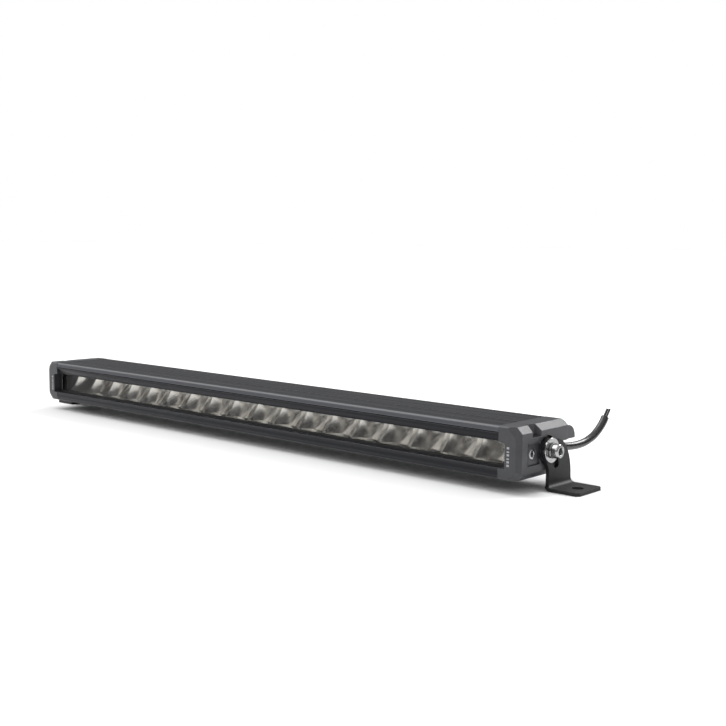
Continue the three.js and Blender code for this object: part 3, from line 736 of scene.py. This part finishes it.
def bolt_profile():
    """A socket-head cap screw with a chamfered tip and a rounded crown."""
    radius, head, crown, socket = (BOLT[key] for key in ("radius", "head", "crown", "socket"))
    tip = HEAD_START - BOLT["reach"]
    end = HEAD_START + BOLT["head_length"]
    profile = [(0, tip), (radius - 0.5, tip), (radius, tip + 0.6), (radius, HEAD_START)]
    profile += [(head - 0.3, HEAD_START), (head, HEAD_START + 0.3)]
    for degrees in range(0, 91, 15):
        turn = math.radians(degrees)
        profile.append((head - crown + crown * math.cos(turn), end - crown + crown * math.sin(turn)))
    profile += [(socket + 0.75, end), (socket + 0.55, end - 0.15), (socket, end - 0.6, "hex")]
    return [*profile, (socket, end - 3, "hex"), (0, end - 3.9)]


def washer_profile(size, start, soft=0.25):
    """A ring whose near face is at start, with its corners taken off by soft."""
    outer, inner, stop = size["outer"], size["inner"], start + size["thick"]
    return [
        (inner, start + soft), (inner + soft, start), (outer - soft, start), (outer, start + soft),
        (outer, stop - soft), (outer - soft, stop), (inner + soft, stop), (inner, stop - soft),
        (inner, start + soft),
    ]


def spring_washer_mesh():
    """A split ring of nearly square section, its ends a little apart."""
    half_gap = math.asin(SPRING["gap"] / 2 / SPRING["outer"])
    start, stop = math.pi / 2 + half_gap, math.pi * 2.5 - half_gap
    section = washer_profile(SPRING, SPRING_START, 0.15)[:-1]
    bm = bmesh.new()
    rings = []
    for k in range(WASHER_SEGMENTS + 1):
        angle = start + (stop - start) * k / WASHER_SEGMENTS
        rings.append([bm.verts.new(turned_point(radius, angle, along, PIVOT)) for radius, along in section])
    for low, high in zip(rings, rings[1:]):
        bridge(bm, low, high)
    bm.faces.new(rings[0])
    bm.faces.new(rings[-1])
    return finished(bm, "split_ring")


def screw_profile(face):
    """A countersunk socket screw, with the face of its head that far out."""
    shank, head, socket = (COVER_SCREW[key] for key in ("shank", "head", "socket"))
    tip = face - COVER_SCREW["length"]
    return [
        (0, tip), (shank - 0.3, tip), (shank, tip + 0.4), (shank, face - COVER_SCREW["head_depth"]),
        (head, face - 0.35), (head - 0.1, face - 0.1), (head - 0.4, face), (socket + 0.5, face),
        (socket, face - 0.2, "hex"), (socket, face - 1.6, "hex"), (0, face - 2),
    ]


def as_made(mesh):
    return mesh


def mirrored(mesh):
    """The mesh on the other end of the bar."""
    mesh.transform(Matrix.Scale(-1, 4, Vector((1, 0, 0))))
    mesh.flip_normals()
    return mesh


# What each end does to the meshes, which are made for the right end.
ENDS = {"right": as_made, "left": mirrored}


def add_fasteners(side, flip):
    clamp = f"{side}_clamp"
    pieces = [
        ("pivot_bolt", lathe(bolt_profile(), SCREW_SEGMENTS, PIVOT), clamp),
        ("flat_washer", lathe(washer_profile(WASHER, WASHER_START), WASHER_SEGMENTS, PIVOT), clamp),
        ("spring_washer", spring_washer_mesh(), clamp),
    ]
    for place, (y, z, face) in COVER_SCREWS.items():
        screw = lathe(screw_profile(face), SCREW_SEGMENTS, (0, y, z))
        pieces.append((f"cover_screw_{place}", screw, "bar"))
    for kind, mesh, body in pieces:
        name = f"{side}_{kind}"
        new_object(f"{name}_turned", flip(mesh), body, "stainless", [name])
        smooth(mesh)


for side, flip in ENDS.items():
    add_fasteners(side, flip)

# ---------------------------------------------------------------- printed marks

DASHES = {"x": 277.9, "width": 2.0, "from_z": 10.2, "pitch": 2.45, "raised": 0.04, "sunk": 0.02}
DASH_HEIGHTS = (1.5, 1.5, 1.0, 1.5, 1.0, 1.5)


def dashes_mesh():
    """A plain column of printed dashes on a cover's front face."""
    half = DASHES["width"] / 2
    bm = bmesh.new()
    for k, height in enumerate(DASH_HEIGHTS):
        z = DASHES["from_z"] + k * DASHES["pitch"]
        for vert in bmesh.ops.create_cube(bm, size=1)["verts"]:
            x = DASHES["x"] + (half if vert.co.x > 0 else -half)
            y = -DASHES["raised"] if vert.co.y < 0 else DASHES["sunk"]
            vert.co = mm(x, y, z + (height if vert.co.z > 0 else 0))
    return finished(bm, "dashes")


PRINT = mark_material()
for side, flip in ENDS.items():
    new_object(f"{side}_printed_dashes", flip(dashes_mesh()), "bar", "cover_paint", material=PRINT)

# ---------------------------------------------------------------- floor and light

FLOOR_HALF = 40                    # in metres


def floor_material():
    n = Surface("pale_floor")
    cloud = n.noise(1.5, 2, 0.5)
    base = n.ramp(cloud, [(0.3, (0.90, 0.90, 0.90)), (0.7, (0.93, 0.93, 0.93))])
    return n.shader(base, 0.35, Specular_IOR_Level=0.05)


def add_floor():
    bm = bmesh.new()
    corners = ((-1, -1), (1, -1), (1, 1), (-1, 1))
    bm.faces.new([bm.verts.new((x * FLOOR_HALF, y * FLOOR_HALF, 0)) for x, y in corners])
    mesh = mesh_of(bm, "floor")
    mesh.materials.append(floor_material())
    item = bpy.data.objects.new("floor", mesh)
    scene.collection.objects.link(item)


def add_sun(name, towards, spread, strength):
    """A soft lamp so far off that it lights the floor evenly; towards points from the bar to the lamp."""
    data = bpy.data.lights.new(name, "SUN")
    data.angle = math.radians(spread)
    data.energy = strength
    item = bpy.data.objects.new(name, data)
    item.rotation_euler = Vector(towards).to_track_quat("Z", "Y").to_euler()
    scene.collection.objects.link(item)


SKY_BY_HEIGHT = [(0.0, 0.08), (0.5, 0.08), (0.62, 0.20), (0.80, 0.85), (1.0, 1.0)]
FRONT_LEFT = (-0.66, -0.75, 0)
FRONT_LEFT_SPREAD = (0.3, 0.95)    # cosines of the angles off FRONT_LEFT where the gain starts and is full
FRONT_LEFT_GAIN = 3.6


def add_world():
    """A studio that is brighter overhead and at the front left, with a white backdrop for the camera."""
    scene.world = bpy.data.worlds.new("studio")
    n = Nodes(scene.world, "ShaderNodeOutputWorld", "Generated")
    height = n.span(n.axes()["Z"], -1, 1, 0, 1)
    sky = n.ramp(height, [(position, (level, level, level)) for position, level in SKY_BY_HEIGHT])
    facing = n.add("ShaderNodeVectorMath", operation="DOT_PRODUCT")
    n.link(n.place, facing.inputs[0])
    facing.inputs[1].default_value = FRONT_LEFT
    studio = n.add("ShaderNodeBackground")
    n.link(sky, studio.inputs["Color"])
    gain = n.span(facing.outputs["Value"], *FRONT_LEFT_SPREAD, 1, FRONT_LEFT_GAIN, "SMOOTHSTEP")
    n.link(gain, studio.inputs["Strength"])
    backdrop = n.plain_shader("ShaderNodeBackground", (1, 1, 1))
    camera_ray = n.add("ShaderNodeLightPath").outputs["Is Camera Ray"]
    n.finish(n.mixed(camera_ray, studio.outputs[0], backdrop))


scene.view_settings.view_transform = "Standard"
add_floor()
add_world()
add_sun("back_softbox", (0.1, 0.74, 0.66), 30, 2.0)
add_sun("left_softbox", (-0.52, -0.12, 0.85), 40, 1.2)
